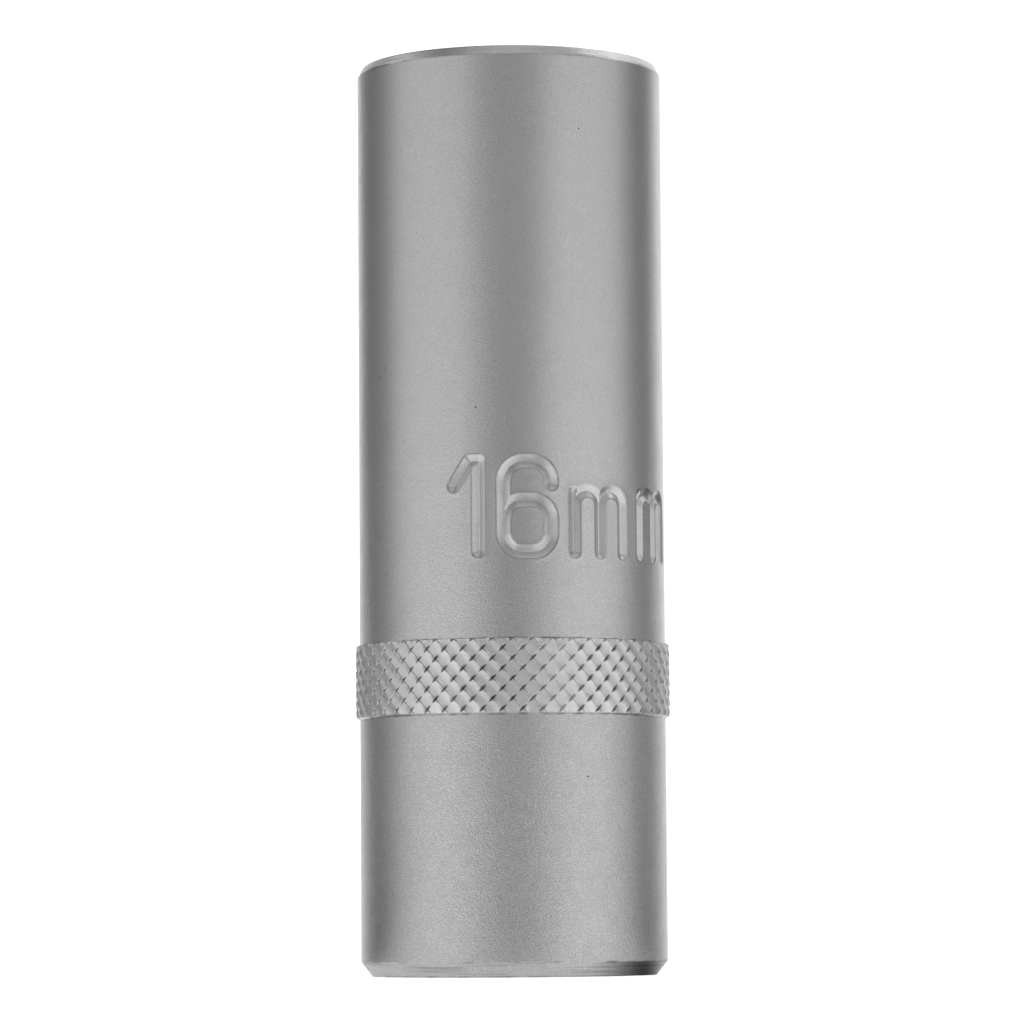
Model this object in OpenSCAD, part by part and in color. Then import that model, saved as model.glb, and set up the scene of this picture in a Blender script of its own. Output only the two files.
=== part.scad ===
// Spark plug socket for a 16 mm hexagon, on a half inch square drive.
// The steel body is one piece, turned outside and formed inside: square drive at its foot,
// hexagon at its mouth, plain bore between them, and a diamond-knurled grip band near the foot.
// A rubber sleeve sits in the bore and holds the plug by its insulator.
// The socket stands on its drive face, with its axis on Z and the origin at that face's centre.

/* [Body] */
// Outside diameter of the plain barrel
body_d = 21.8; // [21.4:0.1:26]
// Length from the drive face to the mouth
body_len = 65; // [62:0.5:90]
// Height of the turned chamfer round the drive face
foot_chamfer_h = 1.1; // [0.3:0.05:1.6]
// Width of the turned chamfer round the drive face
foot_chamfer_w = 0.85; // [0.2:0.05:1.2]
// Height of the turned chamfer round the mouth
mouth_chamfer_h = 0.65; // [0.2:0.05:1.4]
// Width of the turned chamfer round the mouth
mouth_chamfer_w = 0.33; // [0.1:0.01:0.7]

/* [Knurled band] */
// Height of the band's lower edge above the drive face
band_z = 18.7; // [3:0.05:45]
// Number of diamonds round the band
knurl_count = 50; // [36:1:64]
// Height of one diamond along the axis
knurl_pitch = 1.4; // [1:0.05:2]
// Number of half diamonds along the axis
knurl_half_rows = 7; // [3:2:15]
// Height of the diamonds' tops above the barrel
knurl_rise = 0.32; // [0.15:0.01:0.6]
// Depth of the grooves below the diamonds' tops
knurl_depth = 0.26; // [0.08:0.01:0.55]
// Share of a diamond's width that is flat on top
knurl_flat = 0.5; // [0.1:0.05:0.8]
// How far the tops slope down to the band's two edges
knurl_edge_drop = 0.12; // [0:0.01:0.2]

/* [Square drive] */
// Nominal size of the square drive
drive_size = 12.7; // [9.5:0.05:12.7]
// Play of the square over its nominal size
drive_play = 0.1; // [0.05:0.01:0.2]
// Depth of the square
drive_depth = 16; // [11:0.5:20]
// Diameter that the square's corners are rounded off to
drive_corner_d = 17.2; // [13.5:0.1:17.6]
// Diameter of the countersink at the square's entry
drive_entry_d = 16; // [13.2:0.1:17]
// Depth of the countersink at the square's entry
drive_entry_h = 1; // [0.5:0.1:1.5]
// Diameter of the ball that the detent dimples fit
detent_ball_d = 5.5; // [3:0.1:6]
// Depth of the detent dimples in the square's walls
detent_depth = 0.9; // [0.3:0.05:1.2]
// Height of the detent dimples above the drive face
detent_z = 8.2; // [5:0.1:10]

/* [Plug end] */
// Nominal size across the flats of the hexagon
hex_size = 16; // [14:0.1:16.5]
// Play of the hexagon over its nominal size
hex_play = 0.12; // [0.05:0.01:0.2]
// Depth of the hexagon from the mouth
hex_depth = 20; // [12:0.5:22]
// Amount that the hexagon's corners are rounded off, on its width across corners
hex_corner_cut = 0.4; // [0.1:0.05:0.8]
// Height of the lead-in cone at the mouth
mouth_entry_h = 1.1; // [0.5:0.05:1.8]
// Room of the lead-in cone's rim outside the hexagon's corners
mouth_entry_room = 0.3; // [0.1:0.05:0.5]
// Diameter of the plain bore between the square and the hexagon
bore_d = 15.6; // [13:0.1:15.9]

/* [Rubber sleeve] */
// Length of the rubber sleeve
sleeve_len = 22; // [14:0.5:25]
// Bore of the sleeve, which grips the plug's insulator
grip_d = 10.4; // [9:0.1:11.5]
// Clearance between the sleeve's ribs and the body's bore, on the radius
sleeve_clearance = 0.05; // [0.02:0.01:0.2]
// Height of the sleeve's outside ribs
rib_h = 0.3; // [0.1:0.05:0.6]
// Width of each outside rib
rib_w = 2.4; // [1:0.1:3.5]
// Number of outside ribs
rib_count = 3; // [2:1:4]
// Height of the flared entry at the sleeve's upper end
flare_h = 5; // [2:0.5:8]
// Wall left at the rim of the flared entry
flare_rim = 0.7; // [0.4:0.05:1.2]
// Bevel on the edges of the sleeve's ribs
rib_bevel = 0.3; // [0.1:0.05:0.4]

/* [Hidden] */
$fn = 96;

// Cuts run this far past the faces that they open
past = 1;

body_r = body_d / 2;
bore_r = bore_d / 2;
drive_w = drive_size + drive_play;
hex_w = hex_size + hex_play;
hex_corner_r = hex_w / 2 / cos(30) - hex_corner_cut / 2;
hex_floor_z = body_len - hex_depth;

// The band's lattice: grooves cross at the pits, and each diamond lies between four pits
knurl_step = 360 / knurl_count;
knurl_row_h = knurl_pitch / 2;
band_top_z = band_z + knurl_half_rows * knurl_row_h;
knurl_top_r = body_r + knurl_rise;
knurl_pit_r = knurl_top_r - knurl_depth;
knurl_root_r = (body_r + bore_r) / 2;
// A pit of each odd row faces the front
knurl_phase = -90 - knurl_step / 2;

sleeve_r = bore_r - sleeve_clearance;
sleeve_top_z = drive_depth + sleeve_len;

steel_colour = [0.66, 0.66, 0.67];
rubber_colour = [0.06, 0.06, 0.06];

// A point on the band, from its turn in diamond widths, its height in half rows and its radius
function knurl_point(turn, row, r) =
    let (a = knurl_phase + turn * knurl_step)
    [r * cos(a), r * sin(a), band_z + row * knurl_row_h];

// Odd rows of the lattice stand half a diamond to one side
function row_shift(row) = row % 2 == 0 ? 0 : 0.5;

// Radius of a diamond's top: the two edge rows slope down
function knurl_crown_r(row) =
    row == 0 || row == knurl_half_rows ? knurl_top_r - knurl_edge_drop : knurl_top_r;

// The turned outside, with a chamfer at each end
module turned_blank() {
    rotate_extrude()
        polygon([
            [0, 0],
            [body_r - foot_chamfer_w, 0],
            [body_r, foot_chamfer_h],
            [body_r, body_len - mouth_chamfer_h],
            [body_r - mouth_chamfer_w, body_len],
            [0, body_len]
        ]);
}

// Flat-topped diamonds between two sets of crossing grooves, closed inside the barrel's wall
module knurl_band() {
    n = knurl_count;
    rows = knurl_half_rows;
    f = knurl_flat / 2;

    // Pits where the grooves cross, one ring for each row from 0 to rows
    pits = [for (k = [0:rows]) for (i = [0:n - 1])
        knurl_point(i + row_shift(k), k, knurl_pit_r)];
    // The corners of each diamond's flat top: left, lower, right, upper.
    // At the band's edges the diamonds are halves, and the corner past the edge isn't used.
    tops = [for (k = [0:rows]) for (i = [0:n - 1])
        let (turn = i + row_shift(k) + 0.5)
        for (corner = [[-f, 0], [0, -2 * f], [f, 0], [0, 2 * f]])
        let (row = min(max(k + corner[1], 0), rows))
        knurl_point(turn + corner[0], row, corner[1] == 0 ? knurl_crown_r(k) : knurl_top_r)];
    // The foot of each edge face, inside the wall: under a pit, a left and a right top corner
    roots = [for (k = [0, rows]) for (i = [0:n - 1])
        for (turn = [0, 0.5 - f, 0.5 + f])
        knurl_point(i + row_shift(k) + turn, k, knurl_root_r)];

    first_top = len(pits);
    first_root = first_top + len(tops);
    function pit(i, k) = k * n + (i + n) % n;
    function top(i, k, corner) = first_top + 4 * (k * n + (i + n) % n) + corner;
    function root(i, end, j) = first_root + 3 * (end * n + (i + n) % n) + j;
    // The pits below and above a diamond: a lattice row that stands back shifts their count
    function beside(i, k) = k % 2 == 0 ? i : i + 1;

    whole = [for (k = [1:rows - 1]) for (i = [0:n - 1])
        let (left = pit(i, k), right = pit(i + 1, k))
        let (low = pit(beside(i, k), k - 1), high = pit(beside(i, k), k + 1))
        let (a = top(i, k, 0), b = top(i, k, 1), c = top(i, k, 2), d = top(i, k, 3))
        each [
            [a, d, c], [a, c, b],
            [left, a, b], [left, b, low],
            [low, b, c], [low, c, right],
            [right, c, d], [right, d, high],
            [high, d, a], [high, a, left]
        ]];
    lower = [for (i = [0:n - 1])
        let (left = pit(i, 0), right = pit(i + 1, 0), high = pit(beside(i, 0), 1))
        let (a = top(i, 0, 0), c = top(i, 0, 2), d = top(i, 0, 3))
        each [
            [a, d, c],
            [right, c, d], [right, d, high],
            [high, d, a], [high, a, left],
            [root(i, 0, 0), left, a], [root(i, 0, 0), a, root(i, 0, 1)],
            [root(i, 0, 1), a, c], [root(i, 0, 1), c, root(i, 0, 2)],
            [root(i, 0, 2), c, right], [root(i, 0, 2), right, root(i + 1, 0, 0)]
        ]];
    upper = [for (i = [0:n - 1])
        let (left = pit(i, rows), right = pit(i + 1, rows), low = pit(beside(i, rows), rows - 1))
        let (a = top(i, rows, 0), b = top(i, rows, 1), c = top(i, rows, 2))
        each [
            [a, c, b],
            [left, a, b], [left, b, low],
            [low, b, c], [low, c, right],
            [left, root(i, 1, 0), a], [a, root(i, 1, 0), root(i, 1, 1)],
            [a, root(i, 1, 1), c], [c, root(i, 1, 1), root(i, 1, 2)],
            [c, root(i, 1, 2), right], [right, root(i, 1, 2), root(i + 1, 1, 0)]
        ]];
    inner = [for (i = [0:n - 1]) for (j = [0:2])
        let (next_i = j == 2 ? i + 1 : i, next_j = (j + 1) % 3)
        let (a = root(i, 0, j), b = root(next_i, 0, next_j))
        let (c = root(i, 1, j), d = root(next_i, 1, next_j))
        each [[a, b, d], [a, d, c]]];

    polyhedron(points = concat(pits, tops, roots), faces = concat(whole, lower, upper, inner));
}

// The square with its corners rounded off, the countersink at its entry and a dimple in each wall
module drive_cut() {
    intersection() {
        translate([-drive_w / 2, -drive_w / 2, -past])
            cube([drive_w, drive_w, drive_depth + past]);
        translate([0, 0, -past])
            cylinder(d = drive_corner_d, h = drive_depth + past);
    }
    cylinder(d1 = drive_entry_d, d2 = drive_w, h = drive_entry_h);
    for (turn = [0:90:270])
        rotate([0, 0, turn])
            translate([drive_w / 2 + detent_depth - detent_ball_d / 2, 0, detent_z])
                sphere(d = detent_ball_d);
}

// The plain bore, from inside the square to inside the hexagon
module bore_cut() {
    translate([0, 0, drive_depth])
        cylinder(r = bore_r, h = hex_floor_z - drive_depth + past);
}

// The hexagon, whose floor tapers into the bore, and the lead-in cone at the mouth
module hex_cut() {
    taper_h = hex_corner_r - bore_r;
    mouth_entry_r = hex_w / 2 / cos(30) + mouth_entry_room;
    intersection() {
        translate([0, 0, hex_floor_z])
            cylinder(d = hex_w / cos(30), h = hex_depth + past, $fn = 6);
        rotate_extrude()
            polygon([
                [0, hex_floor_z],
                [bore_r, hex_floor_z],
                [hex_corner_r, hex_floor_z + taper_h],
                [hex_corner_r, body_len + past],
                [0, body_len + past]
            ]);
    }
    translate([0, 0, body_len - mouth_entry_h])
        cylinder(r1 = hex_w / 2, r2 = mouth_entry_r, h = mouth_entry_h);
}

// The steel body: one piece
module socket_body() {
    color(steel_colour)
        union() {
            difference() {
                turned_blank();
                drive_cut();
                bore_cut();
                hex_cut();
            }
            knurl_band();
        }
}

// The rubber sleeve, seated on the ledge round the square, ribbed outside and flared at the top
module rubber_sleeve() {
    core_r = sleeve_r - rib_h;
    grip_r = grip_d / 2;
    rib_gap = (sleeve_len - rib_count * rib_w) / (rib_count - 1);
    color(rubber_colour)
        translate([0, 0, drive_depth])
            rotate_extrude()
                difference() {
                    union() {
                        square([core_r, sleeve_len]);
                        for (i = [0:rib_count - 1])
                            translate([0, i * (rib_w + rib_gap)])
                                polygon([
                                    [0, 0],
                                    [sleeve_r - rib_bevel, 0],
                                    [sleeve_r, rib_bevel],
                                    [sleeve_r, rib_w - rib_bevel],
                                    [sleeve_r - rib_bevel, rib_w],
                                    [0, rib_w]
                                ]);
                    }
                    polygon([
                        [-past, -past],
                        [grip_r, -past],
                        [grip_r, sleeve_len - flare_h],
                        [core_r - flare_rim, sleeve_len],
                        [core_r - flare_rim, sleeve_len + past],
                        [-past, sleeve_len + past]
                    ]);
                }
}

socket_body();
rubber_sleeve();
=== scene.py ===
"""Looks of the spark plug socket.

The steel body is modelled again over its solid: a turned barrel with its cavity, a rolled diamond knurl
and a stamped size mark. The rubber sleeve is modelled with soft edges. A plain studio stands round them.
"""

import logging
import math
from collections.abc import Callable, Sequence
from dataclasses import dataclass, field
from enum import Enum

import bmesh
import bpy
from mathutils import Matrix, Vector, noise


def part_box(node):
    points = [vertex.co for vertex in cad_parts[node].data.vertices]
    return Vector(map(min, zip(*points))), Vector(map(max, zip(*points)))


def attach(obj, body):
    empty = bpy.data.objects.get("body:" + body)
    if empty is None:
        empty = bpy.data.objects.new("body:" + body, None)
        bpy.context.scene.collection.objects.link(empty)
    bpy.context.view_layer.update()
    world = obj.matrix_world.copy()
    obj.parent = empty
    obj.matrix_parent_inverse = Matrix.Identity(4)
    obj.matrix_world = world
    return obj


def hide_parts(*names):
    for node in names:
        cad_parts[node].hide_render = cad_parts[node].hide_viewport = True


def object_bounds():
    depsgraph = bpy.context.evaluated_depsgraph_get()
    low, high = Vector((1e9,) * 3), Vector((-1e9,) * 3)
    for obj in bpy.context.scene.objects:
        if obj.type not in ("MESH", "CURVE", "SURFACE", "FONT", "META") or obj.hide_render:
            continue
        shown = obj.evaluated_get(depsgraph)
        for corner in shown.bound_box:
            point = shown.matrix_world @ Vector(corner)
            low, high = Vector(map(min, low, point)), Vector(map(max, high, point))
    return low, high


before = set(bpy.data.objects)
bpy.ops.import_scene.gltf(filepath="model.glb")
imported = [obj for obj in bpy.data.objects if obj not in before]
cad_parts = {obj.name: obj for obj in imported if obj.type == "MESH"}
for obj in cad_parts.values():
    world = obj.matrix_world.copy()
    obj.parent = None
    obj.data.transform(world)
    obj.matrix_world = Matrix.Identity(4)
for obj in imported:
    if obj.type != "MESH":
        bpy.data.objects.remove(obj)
CAD_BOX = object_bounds()

MM = 0.001
FULL_TURN = 2 * math.pi
FRONT = math.radians(-90)
MERGE = 0.002 * MM
ROUND_STEPS = 3
FAN_CUTS = 15
BODY_NODE = "socket_body"
SLEEVE_NODE = "rubber_sleeve"
SHADE_AND_MARKS = "shade_and_marks"
ROLLED_AND_HIGHLIGHT = "rolled"
LOG = logging.getLogger("socket")

Point = tuple[float, float]
Colour = tuple[float, float, float, float]
Piece = bpy.types.Object
Material = bpy.types.Material
Socket = bpy.types.NodeSocket
Node = bpy.types.Node


class Pick(Enum):
    """Kinds of mesh element that edit mode selects."""

    EDGES = "EDGE"
    FACES = "FACE"


class Cut(Enum):
    """Ways in which one shape is applied to another."""

    TAKE_AWAY = "DIFFERENCE"
    KEEP_COMMON = "INTERSECT"


class Bench:
    """Operator steps that every modelled piece shares."""

    @staticmethod
    def clear() -> None:
        """Leave edit mode and deselect everything."""
        if bpy.context.object is not None and bpy.context.object.mode != "OBJECT":
            Bench.leave()
        bpy.ops.object.select_all(action="DESELECT")

    @staticmethod
    def hold(piece: Piece) -> None:
        """Make one piece the only selected and active one.

        Args:
            piece: The piece.
        """
        Bench.clear()
        piece.select_set(True)
        bpy.context.view_layer.objects.active = piece

    @staticmethod
    def take_new(name: str) -> Piece:
        """Name the primitive that was just added, and put its place into its mesh.

        Args:
            name: Name of the new object.

        Returns:
            The object, at the origin.
        """
        piece = bpy.context.active_object
        piece.name = name
        bpy.ops.object.transform_apply(location=True, rotation=True, scale=True)
        return piece

    @staticmethod
    def edit(piece: Piece, pick: Pick) -> None:
        """Enter edit mode on a piece with nothing selected.

        Args:
            piece: The piece to edit.
            pick: The kind of element that is selected next.
        """
        Bench.hold(piece)
        bpy.ops.object.mode_set(mode="EDIT")
        bpy.ops.mesh.select_mode(type=pick.value)
        bpy.ops.mesh.select_all(action="DESELECT")

    @staticmethod
    def edit_all(piece: Piece) -> None:
        """Enter edit mode on a piece with all of it selected."""
        Bench.edit(piece, Pick.FACES)
        bpy.ops.mesh.select_all(action="SELECT")

    @staticmethod
    def leave() -> None:
        """Go back from edit mode to object mode."""
        bpy.ops.object.mode_set(mode="OBJECT")

    @staticmethod
    def select(piece: Piece, pick: Pick, test: Callable[[Vector], bool]) -> None:
        """Select the edges or faces of the edited piece by the place of their corners.

        Args:
            piece: The piece in edit mode.
            pick: Edges or faces.
            test: Says of a corner whether it lies in the wanted place, as all corners of an element must.
        """
        mesh = bmesh.from_edit_mesh(piece.data)
        inside = {vertex.index: test(vertex.co) for vertex in mesh.verts}
        for element in mesh.edges if pick is Pick.EDGES else mesh.faces:
            if all(inside[vertex.index] for vertex in element.verts):
                element.select_set(True)
        bmesh.update_edit_mesh(piece.data)

    @staticmethod
    def apply(piece: Piece, modifier: bpy.types.Modifier) -> None:
        """Apply a modifier to its piece."""
        Bench.hold(piece)
        bpy.ops.object.modifier_apply(modifier=modifier.name)

    @staticmethod
    def combine(piece: Piece, tool: Piece, cut: Cut) -> None:
        """Cut a piece by a tool shape, which is used up.

        Args:
            piece: The piece that is cut.
            tool: The closed shape that cuts it.
            cut: What stays.
        """
        modifier = piece.modifiers.new(cut.name.lower(), "BOOLEAN")
        modifier.operation = cut.value
        modifier.solver = "EXACT"
        modifier.material_mode = "TRANSFER"
        modifier.object = tool
        Bench.apply(piece, modifier)
        bpy.data.objects.remove(tool)

    @staticmethod
    def finish(piece: Piece, crease_deg: float) -> None:
        """Merge doubles, turn the faces outwards and shade the piece smooth between its sharp edges.

        Args:
            piece: The piece to finish.
            crease_deg: Angle above which an edge stays sharp.
        """
        Bench.edit_all(piece)
        bpy.ops.mesh.remove_doubles(threshold=MERGE)
        bpy.ops.mesh.normals_make_consistent(inside=False)
        Bench.leave()
        bpy.ops.object.shade_smooth_by_angle(angle=math.radians(crease_deg))


@dataclass(frozen=True)
class Ring:
    """One turned edge: its radius and its height on the axis."""

    radius: float
    height: float


def turn_solid(name: str, rings: Sequence[Ring], sides: int) -> Piece:
    """Turn a closed solid by drawing a disc up the axis from ring to ring.

    Args:
        name: Name of the new object.
        rings: The edges, from the lowest to the highest.
        sides: Number of sides of the disc.

    Returns:
        The solid.
    """
    Bench.clear()
    foot = rings[0]
    bpy.ops.mesh.primitive_circle_add(
        vertices=sides, radius=foot.radius, fill_type="NGON", location=(0, 0, foot.height)
    )
    solid = Bench.take_new(name)
    Bench.edit_all(solid)
    for lower, upper in zip(rings, rings[1:]):
        rise = upper.height - lower.height
        spread = upper.radius / lower.radius
        bpy.ops.mesh.extrude_region_move(TRANSFORM_OT_translate={"value": (0, 0, rise)})
        bpy.ops.transform.resize(value=(spread, spread, 1), center_override=(0, 0, upper.height))
    bpy.ops.mesh.select_all(action="SELECT")
    bpy.ops.mesh.normals_make_consistent(inside=False)
    Bench.leave()
    return solid


def flat_sheet(name: str, size: Point, middle: Vector, turn_deg: tuple[float, float, float],
               taper: float = 1.0) -> Piece:
    """Lay or stand a flat sheet.

    Args:
        name: Name of the new object.
        size: Its width and length.
        middle: Middle of the sheet.
        turn_deg: How it is turned on each axis.
        taper: Width of its far edge as a share of its near edge.

    Returns:
        The sheet.
    """
    Bench.clear()
    bpy.ops.mesh.primitive_plane_add(size=1, location=(0, 0, 0))
    sheet = bpy.context.active_object
    Bench.edit_all(sheet)
    bpy.ops.transform.resize(value=(*size, 1), center_override=(0, 0, 0))
    if taper != 1:
        bpy.ops.mesh.select_all(action="DESELECT")
        Bench.select(sheet, Pick.EDGES, lambda corner: corner.y > 0)
        bpy.ops.transform.resize(value=(taper, 1, 1), center_override=(0, 0, 0))
        bpy.ops.mesh.select_all(action="SELECT")
        bpy.ops.mesh.subdivide(number_cuts=FAN_CUTS)
    Bench.leave()
    sheet.location = middle
    sheet.rotation_euler = [math.radians(angle) for angle in turn_deg]
    return Bench.take_new(name)


class ShaderNet:
    """Short hand for building one node tree."""

    def __init__(self, tree: bpy.types.NodeTree) -> None:
        """Start with an empty tree."""
        self.tree = tree
        self.tree.nodes.clear()

    def add(self, kind: str, **settings: object) -> Node:
        """Add a node and set its properties.

        Args:
            kind: The node's type name.
            settings: Properties of the node.

        Returns:
            The node.
        """
        node = self.tree.nodes.new(kind)
        for key, value in settings.items():
            setattr(node, key, value)
        return node

    def feed(self, node: Node, **inputs: object) -> Node:
        """Set or link a node's inputs by name, with underscores for spaces.

        Args:
            node: The node to feed.
            inputs: A socket to link, or a value to set.

        Returns:
            The same node.
        """
        for key, value in inputs.items():
            self.put(node.inputs[key.replace("_", " ")], value)
        return node

    def put(self, socket: Socket, value: object) -> None:
        """Link or set one input socket.

        Args:
            socket: The input.
            value: A socket to link, or a value to set.
        """
        if isinstance(value, Socket):
            self.tree.links.new(value, socket)
        else:
            socket.default_value = value

    def math(self, operation: str, *values: object) -> Socket:
        """Add a Math node.

        Args:
            operation: The node's operation.
            values: Sockets or numbers, in order.

        Returns:
            The result.
        """
        node = self.add("ShaderNodeMath", operation=operation)
        for socket, value in zip(node.inputs, values):
            self.put(socket, value)
        return node.outputs[0]

    def share(self, first: Socket, second: Socket, share: float) -> Socket:
        """Mix two values, with the second's share given."""
        rest = self.math("MULTIPLY", first, 1 - share)
        return self.math("ADD", rest, self.math("MULTIPLY", second, share))

    def split(self, vector: Socket) -> Sequence[Socket]:
        """Split a vector into its three parts."""
        return self.feed(self.add("ShaderNodeSeparateXYZ"), Vector=vector).outputs[:]

    def ramp(self, value: Socket, low: float, high: float,
             to_low: float = 0.0, to_high: float = 1.0) -> Socket:
        """Map a value smoothly from one range to another, and keep it there.

        Args:
            value: The value to map.
            low: Start of the input range.
            high: End of the input range.
            to_low: Start of the output range.
            to_high: End of the output range.

        Returns:
            The mapped value.
        """
        node = self.add("ShaderNodeMapRange", interpolation_type="SMOOTHSTEP")
        for socket, number in zip(node.inputs, (value, low, high, to_low, to_high)):
            self.put(socket, number)
        return node.outputs[0]

    def blend(self, share: object, first: object, second: object) -> Socket:
        """Mix two colours.

        Args:
            share: Share of the second colour.
            first: Colour or socket.
            second: Colour or socket.

        Returns:
            The mixed colour.
        """
        node = self.add("ShaderNodeMix", data_type="RGBA")
        # The node has sockets for numbers and vectors ahead of those for colours.
        for index, value in ((0, share), (6, first), (7, second)):
            self.put(node.inputs[index], value)
        return node.outputs[2]

    def noise(self, vector: Socket, size: object, detail: float, roughness: float = 0.5) -> Socket:
        """Add a noise with features of a given size.

        Args:
            vector: Where to read it.
            size: Size of its features in metres, as a number or a socket.
            detail: Number of finer layers.
            roughness: Strength of the finer layers.

        Returns:
            The noise's value.
        """
        node = self.add("ShaderNodeTexNoise")
        scale = self.math("DIVIDE", 1.0, size) if isinstance(size, Socket) else 1 / size
        self.feed(node, Vector=vector, Scale=scale, Detail=detail, Roughness=roughness)
        return node.outputs["Fac"]

    def bump(self, height: Socket, depth: float, normal: Socket | None = None) -> Socket:
        """Add a bump.

        Args:
            height: Its height.
            depth: What a height of 1 stands for, in metres.
            normal: The normal that it is laid on, if any.

        Returns:
            The bumped normal.
        """
        node = self.feed(self.add("ShaderNodeBump"), Strength=1.0, Distance=depth, Height=height)
        if normal is not None:
            self.feed(node, Normal=normal)
        return node.outputs[0]

    def mix_shaders(self, share: object, first: Node, second: Node) -> Node:
        """Mix two shaders.

        Args:
            share: Share of the second shader.
            first: The first shader.
            second: The second shader.

        Returns:
            The mixed shader.
        """
        node = self.add("ShaderNodeMixShader")
        for socket, value in zip(node.inputs, (share, first.outputs[0], second.outputs[0])):
            self.put(socket, value)
        return node

    def show(self, shader: Node) -> None:
        """Make a shader the material's surface."""
        self.feed(self.add("ShaderNodeOutputMaterial"), Surface=shader.outputs[0])


def new_material(name: str) -> tuple[Material, ShaderNet]:
    """Start a material with an empty net.

    Args:
        name: Name of the material.

    Returns:
        The material and its net.
    """
    material = bpy.data.materials.new(name)
    material.use_nodes = True
    return material, ShaderNet(material.node_tree)


def group_tree(name: str, outputs: Sequence[str], inputs: dict[str, float]) -> tuple[ShaderNet, Node]:
    """Start a shader group with a Vector input and named numbers.

    Args:
        name: Name of the group.
        outputs: Output names.
        inputs: Input names with their default values.

    Returns:
        The group's net and its input node.
    """
    tree = bpy.data.node_groups.new(name, "ShaderNodeTree")
    net = ShaderNet(tree)
    tree.interface.new_socket("Vector", in_out="INPUT", socket_type="NodeSocketVector")
    for label, value in inputs.items():
        socket = tree.interface.new_socket(label, in_out="INPUT", socket_type="NodeSocketFloat")
        socket.default_value = value
    for label in outputs:
        tree.interface.new_socket(label, in_out="OUTPUT", socket_type="NodeSocketFloat")
    return net, net.add("NodeGroupInput")


class Effects:
    """Shader groups that the finishes share, each built once."""

    PIT_EDGE = (0.034, 0.014)
    SCUFF_TURN = (0.4, 0.9, 0.6)
    SCUFF_STRETCH = (1.0, 14.0, 1.0)
    SCUFF_SIZE = 2.4 * MM
    SCUFF_RANGE = (0.64, 0.72)
    PATCH_SIZE = 7.0 * MM
    PATCH_RANGE = (0.5, 0.62)

    def __init__(self) -> None:
        """Build the groups."""
        self.grain = self._grain()
        self.wear = self._wear()

    def _grain(self) -> bpy.types.NodeTree:
        """Fine blasted grain with slow mottling.

        Returns:
            The group, with the grain's height and a mottle value.
        """
        sizes = {"Grain Size": 0.1 * MM, "Mottle Size": 1.0 * MM}
        net, given = group_tree("blasted_grain", ("Height", "Mottle"), sizes)
        vector = given.outputs["Vector"]
        fine = net.noise(vector, given.outputs["Grain Size"], 2.0)
        slow = net.noise(vector, given.outputs["Mottle Size"], 3.0)
        net.feed(net.add("NodeGroupOutput"), Height=fine, Mottle=slow)
        return net.tree

    def _wear(self) -> bpy.types.NodeTree:
        """Sparse pin-prick pits and faint scuffs from handling.

        Returns:
            The group, with a mask for each.
        """
        net, given = group_tree("handling_marks", ("Pits", "Scuffs"), {"Pit Spacing": 2.6 * MM})
        vector = given.outputs["Vector"]
        cells = net.add("ShaderNodeTexVoronoi", feature="F1")
        net.feed(cells, Vector=vector, Scale=net.math("DIVIDE", 1.0, given.outputs["Pit Spacing"]))
        pits = net.ramp(cells.outputs["Distance"], *self.PIT_EDGE)
        stretched = net.add("ShaderNodeMapping")
        net.feed(stretched, Vector=vector, Rotation=self.SCUFF_TURN, Scale=self.SCUFF_STRETCH)
        streaks = net.ramp(net.noise(stretched.outputs[0], self.SCUFF_SIZE, 3.0, 0.6), *self.SCUFF_RANGE)
        patches = net.ramp(net.noise(vector, self.PATCH_SIZE, 1.0), *self.PATCH_RANGE)
        scuffs = net.math("MULTIPLY", streaks, patches)
        net.feed(net.add("NodeGroupOutput"), Pits=pits, Scuffs=scuffs)
        return net.tree


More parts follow.
